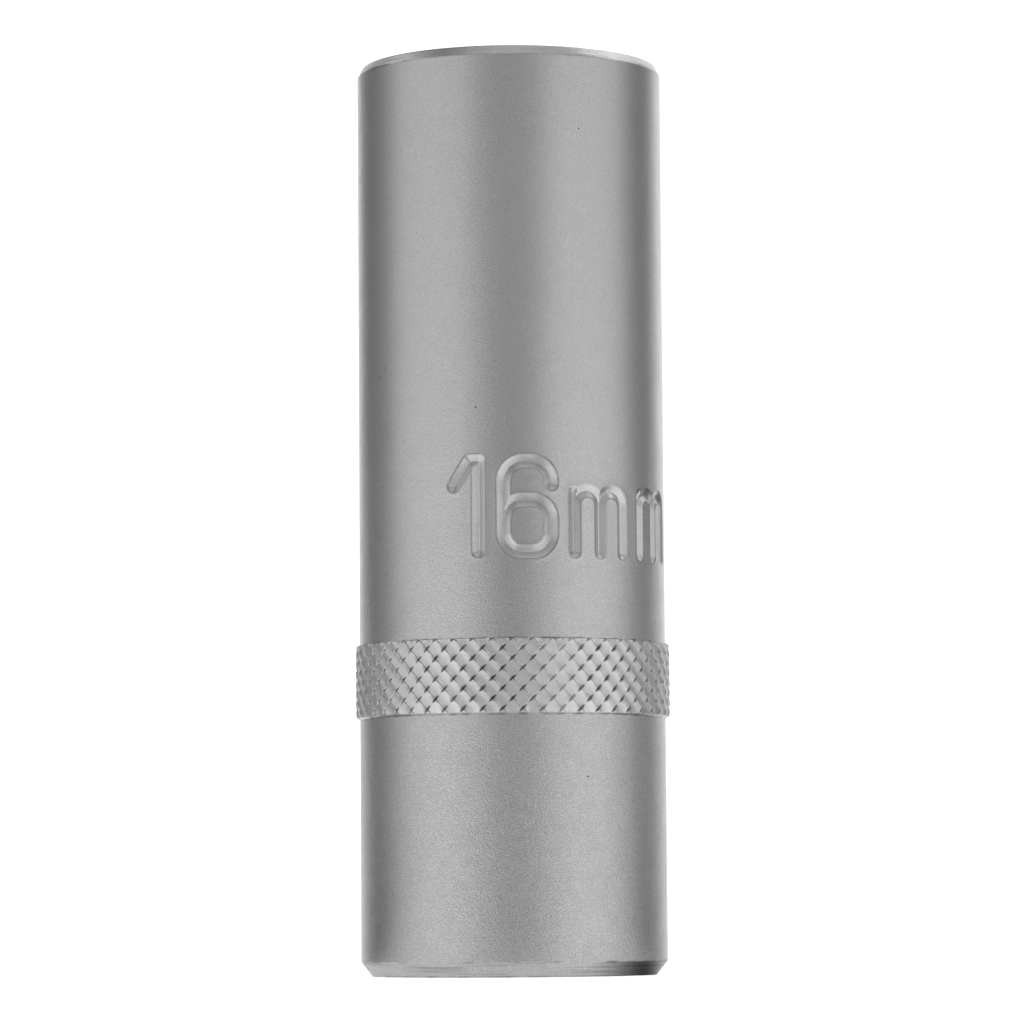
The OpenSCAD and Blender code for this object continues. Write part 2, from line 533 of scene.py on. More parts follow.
@dataclass(frozen=True)
class MetalFinish:
    """A metal surface: plated, turned or left from forming.

    A pair of strengths or shares holds at the lower and at the upper of a pair of heights on the socket.
    """

    name: str
    base: Colour
    shade: Colour
    shade_and_marks: Colour
    rolled: Colour
    roughness: Point
    haze_range: Point = (0.3, 0.7)
    haze_grit: float = 0.4
    rolled_share: float = 0.8
    rolled_haze: float = 0.13
    rolled_grain: float = 0.6
    scuff_share: float = 0.25
    scuff_polish: float = 0.08
    pit_depth: float = 0.8
    grain_size: float = 0.085 * MM
    grain_depth: float = 0.034 * MM
    grain_heights: Point = (8 * MM, 42 * MM)
    grain_strengths: Point = (1.25, 0.5)
    speckle_strengths: Point = (0.8, 0.5)
    speckle_range: Point = (0.38, 0.62)
    speckle_grit: float = 0.9
    mottle_size: float = 1.2 * MM
    wave_size: float = 6 * MM
    wave_depth: float = 0.04 * MM
    line_pitch: float = 0.0
    line_depth: float = 0.0
    line_range: Point = (0.5, 0.66)
    line_slant: float = 0.6
    line_drift: float = 0.03
    line_shade_heights: Point = (5 * MM, 30 * MM)
    line_shade_shares: Point = (0.4, 0.06)

    def material(self, effects: Effects) -> Material:
        """Build the finish.

        Args:
            effects: The shared shader groups.

        Returns:
            The material.
        """
        material, net = new_material(self.name)
        place = net.add("ShaderNodeTexCoord").outputs["Object"]
        up = net.split(place)[2]
        grain = net.add("ShaderNodeGroup", node_tree=effects.grain)
        net.feed(grain, Vector=place, Grain_Size=self.grain_size, Mottle_Size=self.mottle_size)
        mottle, grit = grain.outputs["Mottle"], grain.outputs["Height"]
        wear = net.feed(net.add("ShaderNodeGroup", node_tree=effects.wear), Vector=place)
        pits, scuffs = wear.outputs["Pits"], wear.outputs["Scuffs"]
        shade_and_marks = net.add("ShaderNodeAttribute", attribute_name=SHADE_AND_MARKS).outputs["Fac"]
        rolled = net.add("ShaderNodeAttribute", attribute_name=ROLLED_AND_HIGHLIGHT).outputs["Fac"]

        speckle = net.ramp(net.share(mottle, grit, self.speckle_grit), *self.speckle_range)
        tint = net.ramp(up, *self.grain_heights, *self.speckle_strengths)
        speckle = net.math("MULTIPLY", net.math("SUBTRACT", speckle, 0.5), tint)
        colour = net.blend(net.math("ADD", speckle, 0.5), self.base, self.shade)
        colour = net.blend(net.math("MULTIPLY", scuffs, self.scuff_share), colour, self.rolled)
        # The rolled attribute lightens the knurl and the strokes, and holds a painted highlight along the
        # strokes' creases.
        colour = net.blend(net.math("MULTIPLY", rolled, self.rolled_share), colour, self.rolled)
        # Painted shade and darkened edges from the corners' attribute, then the wear pits, in one dark
        # colour.
        colour = net.blend(shade_and_marks, colour, self.shade_and_marks)
        colour = net.blend(pits, colour, self.shade_and_marks)

        haze = net.ramp(net.share(mottle, grit, self.haze_grit), *self.haze_range, *self.roughness)
        haze = net.math("SUBTRACT", haze, net.math("MULTIPLY", scuffs, self.scuff_polish))
        haze = net.math("ADD", haze, net.math("MULTIPLY", rolled, self.rolled_haze))

        coarse = net.ramp(up, *self.grain_heights, *self.grain_strengths)
        coarse = net.math("MULTIPLY", coarse, net.ramp(rolled, 0.5, 1.0, 1.0, self.rolled_grain))
        height = net.math("MULTIPLY", grit, coarse)
        height = net.math("SUBTRACT", height, net.math("MULTIPLY", pits, self.pit_depth))
        waves = net.bump(net.noise(place, self.wave_size, 1.0), self.wave_depth)
        normal = net.bump(height, self.grain_depth, waves)
        if self.line_pitch > 0:
            lines = self._turning_lines(net, place)
            # Painted shade along the turning lines, strongest near the foot.
            line_shade = net.ramp(up, *self.line_shade_heights, *self.line_shade_shares)
            line_shade = net.math("MULTIPLY", net.ramp(lines, *self.line_range), line_shade)
            colour = net.blend(line_shade, colour, self.shade_and_marks)
            normal = net.bump(lines, self.line_depth, normal)

        shader = net.add("ShaderNodeBsdfPrincipled")
        net.show(net.feed(shader, Base_Color=colour, Roughness=haze, Metallic=1.0, Normal=normal))
        return material

    def _turning_lines(self, net: ShaderNet, place: Socket) -> Socket:
        """Fine rings left by the turning tool.

        Args:
            net: The material's net.
            place: Object coordinates.

        Returns:
            The height of the rings.
        """
        east, north, up = net.split(place)
        square = net.math("ADD", net.math("MULTIPLY", east, east), net.math("MULTIPLY", north, north))
        along = net.math("ADD", up, net.math("MULTIPLY", net.math("SQRT", square), self.line_slant))
        aside, behind = (net.math("MULTIPLY", side, self.line_drift) for side in (east, north))
        line = net.feed(net.add("ShaderNodeCombineXYZ"), X=along, Y=aside, Z=behind)
        return net.noise(line.outputs[0], self.line_pitch, 2.0, 0.6)


@dataclass(frozen=True)
class RubberFinish:
    """Moulded rubber: matte, faintly pitted and dusted."""

    name: str
    base: Colour
    dust: Colour
    roughness: Point
    haze_range: Point = (0.3, 0.7)
    dust_range: Point = (0.5, 0.75)
    grain_size: float = 0.25 * MM
    grain_depth: float = 0.02 * MM
    mottle_size: float = 2.5 * MM

    def material(self, effects: Effects) -> Material:
        """Build the finish.

        Args:
            effects: The shared shader groups.

        Returns:
            The material.
        """
        material, net = new_material(self.name)
        place = net.add("ShaderNodeTexCoord").outputs["Object"]
        grain = net.add("ShaderNodeGroup", node_tree=effects.grain)
        net.feed(grain, Vector=place, Grain_Size=self.grain_size, Mottle_Size=self.mottle_size)
        mottle = grain.outputs["Mottle"]
        colour = net.blend(net.ramp(mottle, *self.dust_range), self.base, self.dust)
        haze = net.ramp(mottle, *self.haze_range, *self.roughness)
        normal = net.bump(grain.outputs["Height"], self.grain_depth)
        shader = net.add("ShaderNodeBsdfPrincipled")
        net.show(net.feed(shader, Base_Color=colour, Roughness=haze, Normal=normal))
        return material


@dataclass(frozen=True)
class Line:
    """A straight stroke of the size mark, in millimetres round and along the barrel."""

    start: Point
    end: Point
    half_width: float
    depth: float

    def distance(self, point: Point) -> float:
        """Distance of a point from the stroke.

        Args:
            point: The point, in millimetres.

        Returns:
            The distance in millimetres.
        """
        along = (self.end[0] - self.start[0], self.end[1] - self.start[1])
        away = (point[0] - self.start[0], point[1] - self.start[1])
        length = along[0] ** 2 + along[1] ** 2
        share = min(max((along[0] * away[0] + along[1] * away[1]) / length, 0.0), 1.0)
        return math.hypot(away[0] - share * along[0], away[1] - share * along[1])


@dataclass(frozen=True)
class Arc:
    """A round stroke of the size mark, counter-clockwise between two angles."""

    centre: Point
    radius: float
    start_deg: float
    sweep_deg: float
    half_width: float
    depth: float

    def distance(self, point: Point) -> float:
        """Distance of a point from the stroke.

        Args:
            point: The point, in millimetres.

        Returns:
            The distance in millimetres.
        """
        away = (point[0] - self.centre[0], point[1] - self.centre[1])
        turn = (math.degrees(math.atan2(away[1], away[0])) - self.start_deg) % 360
        if turn <= self.sweep_deg:
            return abs(math.hypot(*away) - self.radius)
        ends = []
        for degrees in (self.start_deg, self.start_deg + self.sweep_deg):
            angle = math.radians(degrees)
            tip = (self.radius * math.cos(angle), self.radius * math.sin(angle))
            ends.append(math.dist(away, tip))
        return min(ends)


@dataclass
class SizeMark:
    """The stamped size, 16mm: rounded strokes of V section, with a faint burr at their edges.

    Sizes are in millimetres. The first coordinate runs round the barrel from its front, the second up it.
    What lies across a stroke, from its bottom to its outline of painted shade, is given in half widths of
    the stroke.
    """

    one_foot: float = 29.51
    six_foot: float = 29.42
    unit_foot: float = 29.46
    digit_top: float = 35.75
    unit_top: float = 33.75
    digit_half_width: float = 0.48
    unit_half_width: float = 0.45
    digit_depth: float = 0.34
    unit_depth: float = 0.25
    burr: float = 0.03
    burr_width: float = 0.14
    burr_fall: float = 2.2
    bottom_round: float = 0.002
    crease_highlight_half_width: float = 0.14
    inside_bright: float = 0.25
    inside_reach: float = 0.95
    outline_at: float = 1.05
    outline_half_width: float = 0.14
    one_at: float = -2.33
    one_shoulder: float = 0.69
    one_flag: Point = (1.78, 1.68)
    six_left: float = -0.56
    six_right: float = 2.82
    six_bend: float = 1.32
    six_crown: float = 1.45
    six_bowl: float = 3.62
    six_hook: float = 0.15
    unit_at: Point = (4.54, 10.55)
    stem_pitch: float = 2.04
    stem_drop: float = 0.1
    flag_room: float = 2.0
    strokes: list[Line | Arc] = field(init=False)

    def __post_init__(self) -> None:
        """Draw the strokes."""
        self.strokes = self._one() + self._six()
        for at, first_depth in zip(self.unit_at, (self.digit_depth, self.unit_depth)):
            self.strokes += self._letter_m(at, first_depth)

    def _one(self) -> list[Line | Arc]:
        """The figure one, with a steep flag.

        Returns:
            Its strokes.
        """
        cut = (self.digit_half_width, self.digit_depth)
        top = (self.one_at, self.digit_top)
        shoulder = (self.one_at - self.one_shoulder, self.digit_top)
        tip = (self.one_at - self.one_flag[0], self.digit_top - self.one_flag[1])
        ends = [((self.one_at, self.one_foot), top), (top, shoulder), (shoulder, tip)]
        return [Line(start, end, *cut) for start, end in ends]

    def _six(self) -> list[Line | Arc]:
        """The figure six, as rounded boxes with an open hook.

        Returns:
            Its strokes.
        """
        cut = (self.digit_half_width, self.digit_depth)
        left, right, foot, top = self.six_left, self.six_right, self.six_foot, self.digit_top
        bend, crown = self.six_bend, self.six_crown
        bowl_top = foot + self.six_bowl
        lines = [
            ((left, foot + bend), (left, top - crown)),
            ((left + bend, foot), (right - bend, foot)),
            ((right, foot + bend), (right, bowl_top - bend)),
            ((right - bend, bowl_top), (left + bend, bowl_top)),
            ((left + crown, top), (right - crown, top)),
            ((right, top - crown), (right, top - crown - self.six_hook)),
        ]
        bends = [
            ((left + bend, foot + bend), bend, 180),
            ((right - bend, foot + bend), bend, 270),
            ((right - bend, bowl_top - bend), bend, 0),
            ((left + bend, bowl_top - bend), bend, 90),
            ((left + crown, top - crown), crown, 90),
            ((right - crown, top - crown), crown, 0),
        ]
        strokes: list[Line | Arc] = [Line(start, end, *cut) for start, end in lines]
        strokes += [Arc(centre, radius, start, 90, *cut) for centre, radius, start in bends]
        return strokes

    def _letter_m(self, at: float, first_depth: float) -> list[Line | Arc]:
        """One letter of the unit.

        Args:
            at: Place of its first stem.
            first_depth: Depth of its first stem.

        Returns:
            Its strokes.
        """
        cut = (self.unit_half_width, self.unit_depth)
        arch = self.stem_pitch / 2
        spring = self.unit_top - arch
        stem_top = self.unit_top - self.stem_drop
        first = Line((at, self.unit_foot), (at, stem_top), self.unit_half_width, first_depth)
        strokes: list[Line | Arc] = [first]
        for stem in (1, 2):
            place = at + stem * self.stem_pitch
            strokes.append(Arc((place - arch, spring), arch, 0, 180, *cut))
            strokes.append(Line((place, self.unit_foot), (place, spring), *cut))
        return strokes

    @property
    def window(self) -> tuple[Point, Point]:
        """The stamped field.

        Returns:
            Its lowest and its highest corner.
        """
        margin = self.digit_half_width + 3 * self.burr_width
        last = self.unit_at[1] + 2 * self.stem_pitch
        low = (self.one_at - self.flag_room - margin, self.six_foot - margin)
        return low, (last + margin, self.digit_top + margin)

    def relief(self, point: Point) -> float:
        """Relief of the barrel at a point.

        Args:
            point: The point, in millimetres.

        Returns:
            The height in millimetres, negative in a stroke.
        """
        cut, burr = 0.0, 0.0
        blunt = self.bottom_round
        for stroke in self.strokes:
            off = stroke.distance(point)
            away = off / stroke.half_width
            if away < 1:
                cut = max(cut, stroke.depth * (1 - math.sqrt(away**2 + blunt) / math.sqrt(1 + blunt)))
            else:
                past = (off - stroke.half_width) / self.burr_width
                burr = max(burr, self.burr * past * math.exp(1 - self.burr_fall * past))
        return -cut if cut > 0 else burr

    def tone(self, point: Point) -> Point:
        """Painted shade along the outline of the strokes, and how bright they are inside, with a painted
        highlight along each stroke's crease.

        Args:
            point: The point, in millimetres.

        Returns:
            The share of painted shade and the share of bright.
        """
        away = min(stroke.distance(point) / stroke.half_width for stroke in self.strokes)
        inside = self.inside_bright if away < self.inside_reach else 0.0
        outline = max(0.0, 1 - abs(away - self.outline_at) / self.outline_half_width)
        return outline, max(inside, 1 - away / self.crease_highlight_half_width)


@dataclass
class KnurlBand:
    """The rolled diamond knurl: low pyramids, each with a slanted crater where its tip was not filled.

    Places are counted in diamonds round the band and in half diamonds up it. Craters lie at whole places.
    Widths and lengths of craters, scratches and flat tips are shares of a diamond.
    """

    top_radius: float
    first_tips: float = 18.58 * MM
    pitch: float = 1.4 * MM
    rows: Point = (-0.4, 6.9)
    count: int = 50
    groove_depths: Point = (0.095 * MM, 0.125 * MM)
    flat: float = 0.12
    crater: float = 0.16 * MM
    crater_half_width: float = 0.14
    crater_half_length: float = 0.36
    crater_rim: float = 5.0
    crater_shine: float = 1.2
    crater_floor: float = 0.7
    scratch: float = 0.05 * MM
    scratch_half_width: float = 0.03
    scratch_shares: Point = (0.5, 0.2)
    scratch_dash: Point = (0.1, 0.3)
    scratch_shade: float = 0.65
    edge_drops: Point = (0.06 * MM, 0.04 * MM)
    merge: float = 0.004 * MM
    cut_slack: float = 1e-5
    lines_across: tuple[float, ...] = (0, 0.06, 0.13, 0.5, 0.87, 0.94, 1)
    lines_along: tuple[float, ...] = (0, 0.05, 0.26, 0.36, 0.64, 0.74, 0.95, 1)

    def height(self, row: float) -> float:
        """Height of a place up the band."""
        return self.first_tips + row * self.pitch / 2

    def place(self, angle: float, height: float) -> Point:
        """Place on the band of an angle from its front and a height."""
        return angle * self.count / FULL_TURN + 0.5, (height - self.first_tips) / (self.pitch / 2)

    @property
    def foot(self) -> float:
        """Height of the band's lower edge."""
        return self.height(self.rows[0])

    @property
    def top(self) -> float:
        """Height of the band's upper edge."""
        return self.height(self.rows[1])

    def build(self) -> Piece:
        """Model one diamond, copy it up one column, cut the band's edges and copy the column round.

        Returns:
            The open band.
        """
        Bench.clear()
        across, along = len(self.lines_across) - 1, len(self.lines_along) - 1
        bpy.ops.mesh.primitive_grid_add(
            x_subdivisions=across, y_subdivisions=along, size=1, location=(0.5, 0.5, 0)
        )
        band = Bench.take_new("knurl_band")
        for vertex in band.data.vertices:
            vertex.co.x = self.lines_across[round(vertex.co.x * across)] - 0.5
            vertex.co.y = self.lines_along[round(vertex.co.y * along)] - 0.5
        Bench.edit_all(band)
        bpy.ops.transform.rotate(value=math.radians(45), orient_axis="Z", center_override=(0, 0, 0))
        diagonal = math.sqrt(2)
        bpy.ops.transform.resize(value=(1 / diagonal, 2 / diagonal, 1), center_override=(0, 0, 0))
        start, end = math.floor(self.rows[0]), math.ceil(self.rows[1])
        bpy.ops.transform.translate(value=((start - 1) % 2 / 2, start, 0))
        for row in range(start, end):
            side = 0.5 if row % 2 == 0 else -0.5
            bpy.ops.mesh.duplicate_move(TRANSFORM_OT_translate={"value": (side, 1, 0)})
        for edge, direction in zip(self.rows, (-1, 1)):
            bpy.ops.mesh.select_all(action="SELECT")
            bpy.ops.mesh.bisect(
                plane_co=(0, edge, 0), plane_no=(0, direction, 0),
                clear_outer=True, threshold=self.cut_slack,
            )
        Bench.leave()
        self._wrap(band)
        Bench.edit_all(band)
        copies = self.count - 1
        turned = FULL_TURN * copies / self.count
        bpy.ops.mesh.spin(steps=copies, dupli=True, angle=turned, center=(0, 0, 0), axis=(0, 0, 1))
        bpy.ops.mesh.select_all(action="SELECT")
        bpy.ops.mesh.remove_doubles(threshold=self.merge)
        Bench.leave()
        return band

    @staticmethod
    def _off_tips(turn: float, row: float) -> Point:
        """Signed distances of a place from the nearest rising and the nearest falling line of craters."""
        rising, falling = turn - row / 2, turn + row / 2
        return rising - round(rising), falling - round(falling)

    def crater_share(self, turn: float, row: float) -> float:
        """How deep a place lies in a crater, from 0 at its rim to 1 in its middle."""
        across, along = self._off_tips(turn, row)
        return max(0.0, 1 - abs(across) / self.crater_half_width - (along / self.crater_half_length) ** 2)

    def scratch_share(self, turn: float, row: float) -> float:
        """How deep a place lies in the fine lines between the craters, deepest just below each crater.

        Args:
            turn: Place round the band.
            row: Place up the band.

        Returns:
            The share, from 0 to 1.
        """
        rising, falling = self._off_tips(turn, row)
        on_falling, on_rising = self.scratch_shares
        if abs(falling) < self.scratch_half_width:
            start, end = self.scratch_dash
            return 1.0 if start < rising < end else on_falling
        return on_rising if abs(rising) < self.scratch_half_width else 0.0

    def shade_share(self, turn: float, row: float) -> float:
        """How much painted shade a place gets: full at a crater's rim, less on its floor, some in the fine
        lines.

        Args:
            turn: Place round the band.
            row: Place up the band.

        Returns:
            The share.
        """
        crater = self.crater_share(turn, row)
        shine = self.crater_shine * max(0.0, crater - self.crater_floor)
        shade = min(1.0, self.crater_rim * crater) - shine
        return max(shade, self.scratch_shade * self.scratch_share(turn, row))

    def relief(self, turn: float, row: float) -> float:
        """Drop of the surface below the tops of the diamonds.

        Args:
            turn: Place round the band.
            row: Place up the band.

        Returns:
            The drop.
        """
        drops = []
        for off, depth in zip(self._off_tips(turn, row), self.groove_depths):
            drops.append(depth * max(abs(off) - self.flat, 0.0) / (0.5 - self.flat))
        cut = self.crater * self.crater_share(turn, row) + self.scratch * self.scratch_share(turn, row)
        return max(drops) + cut

    def _wrap(self, band: Piece) -> None:
        """Raise the flat column's diamonds and wrap it on the barrel.

        Args:
            band: The column, with X in diamonds round the band and Y in half diamonds up it.
        """
        start = FRONT - FULL_TURN / self.count / 2
        lower, upper = self.edge_drops
        for vertex in band.data.vertices:
            turn, row = vertex.co.x, vertex.co.y
            drop = self.relief(turn, row)
            drop += lower * max(0.0, self.rows[0] + 1 - row) ** 2
            drop += upper * max(0.0, row + 1 - self.rows[1]) ** 2
            radius = self.top_radius - drop
            angle = start + turn * FULL_TURN / self.count
            vertex.co = (radius * math.cos(angle), radius * math.sin(angle), self.height(row))


@dataclass
class Cavity:
    """What the body is hollowed out by: square drive, plain bore and hexagon."""

    length: float
    drive_width: float = 12.8 * MM
    drive_depth: float = 16 * MM
    drive_corner: float = 8.6 * MM
    entry_radius: float = 8 * MM
    entry_depth: float = 1 * MM
    ball_radius: float = 2.75 * MM
    ball_sides: int = 48
    dimple_depth: float = 0.9 * MM
    dimple_at: float = 8.2 * MM
    bore_radius: float = 7.8 * MM
    hex_width: float = 16.12 * MM
    hex_depth: float = 20 * MM
    hex_corner_cut: float = 0.2 * MM
    mouth_depth: float = 1.1 * MM
    mouth_room: float = 0.3 * MM
    past: float = 1 * MM
    sides: int = 144

    @property
    def hex_corner(self) -> float:
        """Radius of the hexagon's corners."""
        return self.hex_width / 2 / math.cos(math.radians(30))

    def tools(self, inside: Material, turned: Material) -> list[Piece]:
        """Model the shapes that hollow the body out.

        Args:
            inside: Finish of the formed walls.
            turned: Finish of the turned lead-ins.

        Returns:
            The shapes, in the order in which they cut.
        """
        formed = [self._square(), self._bore(), self._hexagon(), *self._dimples()]
        lead_ins = [self._drive_entry(), self._mouth_entry()]
        for tool in formed:
            tool.data.materials.append(inside)
        for tool in lead_ins:
            tool.data.materials.append(turned)
        return formed + lead_ins

    def _square(self) -> Piece:
        """The square, with its corners rounded off.

        Returns:
            The shape.
        """
        Bench.clear()
        height = self.drive_depth + self.past
        middle = self.drive_depth - height / 2
        bpy.ops.mesh.primitive_cube_add(
            size=1, location=(0, 0, middle), scale=(self.drive_width, self.drive_width, height)
        )
        square = Bench.take_new("drive_square")
        below, above = -2 * self.past, self.drive_depth + self.past
        rounding = [Ring(self.drive_corner, below), Ring(self.drive_corner, above)]
        Bench.combine(square, turn_solid("corner_round", rounding, self.sides), Cut.KEEP_COMMON)
        return square

    def _bore(self) -> Piece:
        """The plain bore between the square and the hexagon.

        Returns:
            The shape.
        """
        top = self.length - self.hex_depth + self.past
        rings = [Ring(self.bore_radius, self.drive_depth), Ring(self.bore_radius, top)]
        return turn_solid("bore", rings, self.sides)

    def _hexagon(self) -> Piece:
        """The hexagon, whose floor tapers into the bore.

        Returns:
            The shape.
        """
        floor, top = self.length - self.hex_depth, self.length + self.past
        limit = self.hex_corner - self.hex_corner_cut
        Bench.clear()
        bpy.ops.mesh.primitive_cylinder_add(
            vertices=6, radius=self.hex_corner, depth=top - floor, location=(0, 0, (top + floor) / 2),
            rotation=(0, 0, math.radians(30)),
        )
        hexagon = Bench.take_new("hexagon")
        taper = [
            Ring(self.bore_radius, floor),
            Ring(limit, floor + limit - self.bore_radius),
            Ring(limit, top + self.past),
        ]
        Bench.combine(hexagon, turn_solid("hexagon_taper", taper, self.sides), Cut.KEEP_COMMON)
        return hexagon

    def _dimples(self) -> list[Piece]:
        """The four dimples that the drive's ball snaps into.

        Returns:
            One ball for each wall of the square.
        """
        out = self.drive_width / 2 + self.dimple_depth - self.ball_radius
        balls = []
        for wall in range(4):
            angle = wall * FULL_TURN / 4
            place = (out * math.cos(angle), out * math.sin(angle), self.dimple_at)
            Bench.clear()
            bpy.ops.mesh.primitive_uv_sphere_add(
                segments=self.ball_sides, ring_count=self.ball_sides // 2,
                radius=self.ball_radius, location=place,
            )
            balls.append(Bench.take_new(f"dimple_{wall}"))
        return balls

    def _drive_entry(self) -> Piece:
        """The countersink at the square's entry.

        Returns:
            The shape.
        """
        slope = (self.entry_radius - self.drive_width / 2) / self.entry_depth
        rings = [
            Ring(self.entry_radius + slope * self.past, -self.past),
            Ring(self.drive_width / 2, self.entry_depth),
        ]
        return turn_solid("drive_entry", rings, self.sides)

    def _mouth_entry(self) -> Piece:
        """The lead-in cone at the mouth.

        Returns:
            The shape.
        """
        rim = self.hex_corner + self.mouth_room
        slope = (rim - self.hex_width / 2) / self.mouth_depth
        rings = [
            Ring(self.hex_width / 2, self.length - self.mouth_depth),
            Ring(rim + slope * self.past, self.length + self.past),
        ]
        return turn_solid("mouth_entry", rings, self.sides)


@dataclass(frozen=True)
class DarkenedEdge:
    """A turned edge whose colour is darkened unevenly; at the foot's rim and the knurl's steps this is
    painted shade.

    Where it has a seam, only that stretch is darkened: its middle and half length, in millimetres round.
    """

    height: float
    dark: float
    uneven: float
    patch: float
    reach: float = 0.06 * MM
    seam: Point | None = None

    def tone(self, corner: Vector, around: float) -> float:
        """How dark a corner is.

        Args:
            corner: The corner.
            around: Its place round the barrel, in millimetres.

        Returns:
            The share of dark, which is 0 off the edge.
        """
        if abs(corner.z - self.height) >= self.reach:
            return 0.0
        share = 1.0
        if self.seam is not None:
            middle, half_length = self.seam
            share = max(0.0, 1 - abs(around - middle) / half_length)
        return share * max(0.0, self.dark + self.uneven * noise.noise(corner / self.patch))


@dataclass
class SocketBody:
    """The steel body: turned barrel, cavity, knurl and size mark in one mesh.

    A chamfer is given by its depth and its height. Round the place of pale craters, in millimetres from
    the front, the knurl's craters get less painted shade.
    """

    box: tuple[Vector, Vector]
    knurl_rise: float = 0.32 * MM
    foot_contact_shade: Point = (0.003 * MM, 0.06 * MM)
    foot_chamfer: Point = (0.82 * MM, 1.02 * MM)
    mouth_chamfer: Point = (0.33 * MM, 0.65 * MM)
    edge_round: float = 0.05 * MM
    edge_hold: float = 0.1 * MM
    skin: float = 1 * MM
    pale_craters_at: float = 3.3
    pale_craters_reach: float = 1.5
    pale_craters_share: float = 0.75
    crater_shade: float = 0.9
    crater_shade_uneven: float = 0.4
    crater_shade_patch: float = 1.3 * MM
    mark_outline_shade: float = 0.55
    knurl_run_out: Point = (0.12 * MM, 0.04 * MM)
    knurl_uneven: float = 0.014 * MM
    knurl_patch: float = 0.8 * MM
    knurl_edge_uneven: float = 0.05 * MM
    knurl_edge_patch: float = 0.5 * MM
    field_row: float = 0.24 * MM
    field_slack: float = 0.005
    field_depth: float = 0.05 * MM
    field_cuts: int = 2
    crease_deg: float = 22.0
    sides: int = 300
    length: float = field(init=False)
    radius: float = field(init=False)
    knurl: KnurlBand = field(init=False)
    mark: SizeMark = field(default_factory=SizeMark)

    def __post_init__(self) -> None:
        """Take the main sizes from the solid's box."""
        high = self.box[1]
        self.length = high.z
        self.radius = high.x - self.knurl_rise
        self.knurl = KnurlBand(top_radius=high.x)

    def build(self, plated: Material, turned: Material, formed: Material) -> Piece:
        """Model the body and dress its surfaces.

        Args:
            plated: Finish of the outside.
            turned: Finish of the chamfers and end faces.
            formed: Finish of the cavity's walls.

        Returns:
            The finished piece.
        """
        body = turn_solid("socket_body_dressed", self._rings(), self.sides)
        for finish in (plated, turned):
            body.data.materials.append(finish)
        self._soften_edges(body)
        self._dress_ends(body)
        for tool in Cavity(length=self.length).tools(formed, turned):
            Bench.combine(body, tool, Cut.TAKE_AWAY)
        self._set_knurl(body)
        self._roughen_knurl(body)
        self._stamp(body)
        Bench.finish(body, self.crease_deg)
        self._note_tones(body)
        return body

    @property
    def _band_edges(self) -> Point:
        """Heights at which the barrel ends below and above the knurl."""
        return self.knurl.foot - self.knurl_run_out[0], self.knurl.top + self.knurl_run_out[1]

    def _rings(self) -> list[Ring]:
        """The barrel's turned edges from the foot to the mouth.

        Returns:
            The rings.
        """
        mark_low, mark_high = (corner[1] * MM for corner in self.mark.window)
        rows = round((mark_high - mark_low) / self.field_row)
        marked = [mark_low + (mark_high - mark_low) * row / rows for row in range(rows + 1)]
        low, high = self._band_edges
        start, end = self.foot_chamfer[1], self.length - self.mouth_chamfer[1]
        held = self.edge_hold
        straight = [start, start + held, low - held, low, high, high + held, *marked, end - held, end]
        slope = self.foot_chamfer[0] / start
        return [
            Ring(self.radius - self.foot_chamfer[0], 0),
            *(Ring(self.radius - slope * (start - height), height) for height in (held, start - held)),
            *(Ring(self.radius, height) for height in straight),
            Ring(self.radius - self.mouth_chamfer[0] * held / self.mouth_chamfer[1], end + held),
            Ring(self.radius - self.mouth_chamfer[0], self.length),
        ]

    def _soften_edges(self, body: Piece) -> None:
        """Round the edges of the two chamfers.

        Args:
            body: The turned barrel.
        """
        slack = 0.01 * MM
        foot = (0, self.foot_chamfer[1])
        mouth = (self.length - self.mouth_chamfer[1], self.length)
        for height in (*foot, *mouth):
            Bench.edit(body, Pick.EDGES)
            Bench.select(body, Pick.EDGES, lambda corner: abs(corner.z - height) < slack)
            bpy.ops.mesh.bevel(offset=self.edge_round, segments=ROUND_STEPS, profile=0.5, affect="EDGES")
            Bench.leave()

    def _dress_ends(self, body: Piece) -> None:
        """Give the chamfers and end faces the turned finish.

        Args:
            body: The turned barrel.
        """
        low, high = self.foot_chamfer[1], self.length - self.mouth_chamfer[1]
        for face in body.data.polygons:
            face.material_index = int(face.center.z < low or face.center.z > high)

    def _set_knurl(self, body: Piece) -> None:
        """Cut the barrel open at the band, set the knurl in and close its edges.

        Args:
            body: The hollowed barrel.
        """
        slack = 0.002 * MM
        low, high = self._band_edges
        outside = self.radius - self.skin
        Bench.edit(body, Pick.FACES)
        Bench.select(body, Pick.FACES,
                     lambda corner: low - slack < corner.z < high + slack and corner.xy.length > outside)
        bpy.ops.mesh.delete(type="FACE")
        Bench.leave()
        band = self.knurl.build()
        band.data.materials.append(body.data.materials[0])
        Bench.hold(body)
        band.select_set(True)
        bpy.ops.object.join()
        for barrel_edge, band_edge in ((low, self.knurl.foot), (high, self.knurl.top)):
            Bench.edit(body, Pick.EDGES)
            for height in (barrel_edge, band_edge):
                Bench.select(body, Pick.EDGES,
                             lambda corner: abs(corner.z - height) < slack and corner.xy.length > outside)
            bpy.ops.mesh.bridge_edge_loops()
            Bench.leave()

    def _roughen_knurl(self, body: Piece) -> None:
        """Make the rolled diamonds and the band's upper edge slightly uneven.

        Args:
            body: The barrel with its knurl.
        """
        slack = 0.01 * MM
        for vertex in body.data.vertices:
            outside = vertex.co.xy.length > self.radius
            if outside and self.knurl.foot - slack < vertex.co.z < self.knurl.top + slack:
                rise = self.knurl_uneven * noise.noise(vertex.co / self.knurl_patch)
                vertex.co.xy *= 1 + rise / self.radius
                if vertex.co.z > self.knurl.top - slack:
                    vertex.co.z += self.knurl_edge_uneven * noise.noise(vertex.co / self.knurl_edge_patch)

    def _on_barrel(self, corner: Vector) -> Point:
        """Place of a corner round the barrel from its front and up it, in the size mark's millimetres."""
        angle = math.remainder(math.atan2(corner.y, corner.x) - FRONT, FULL_TURN)
        return angle * self.radius / MM, corner.z / MM

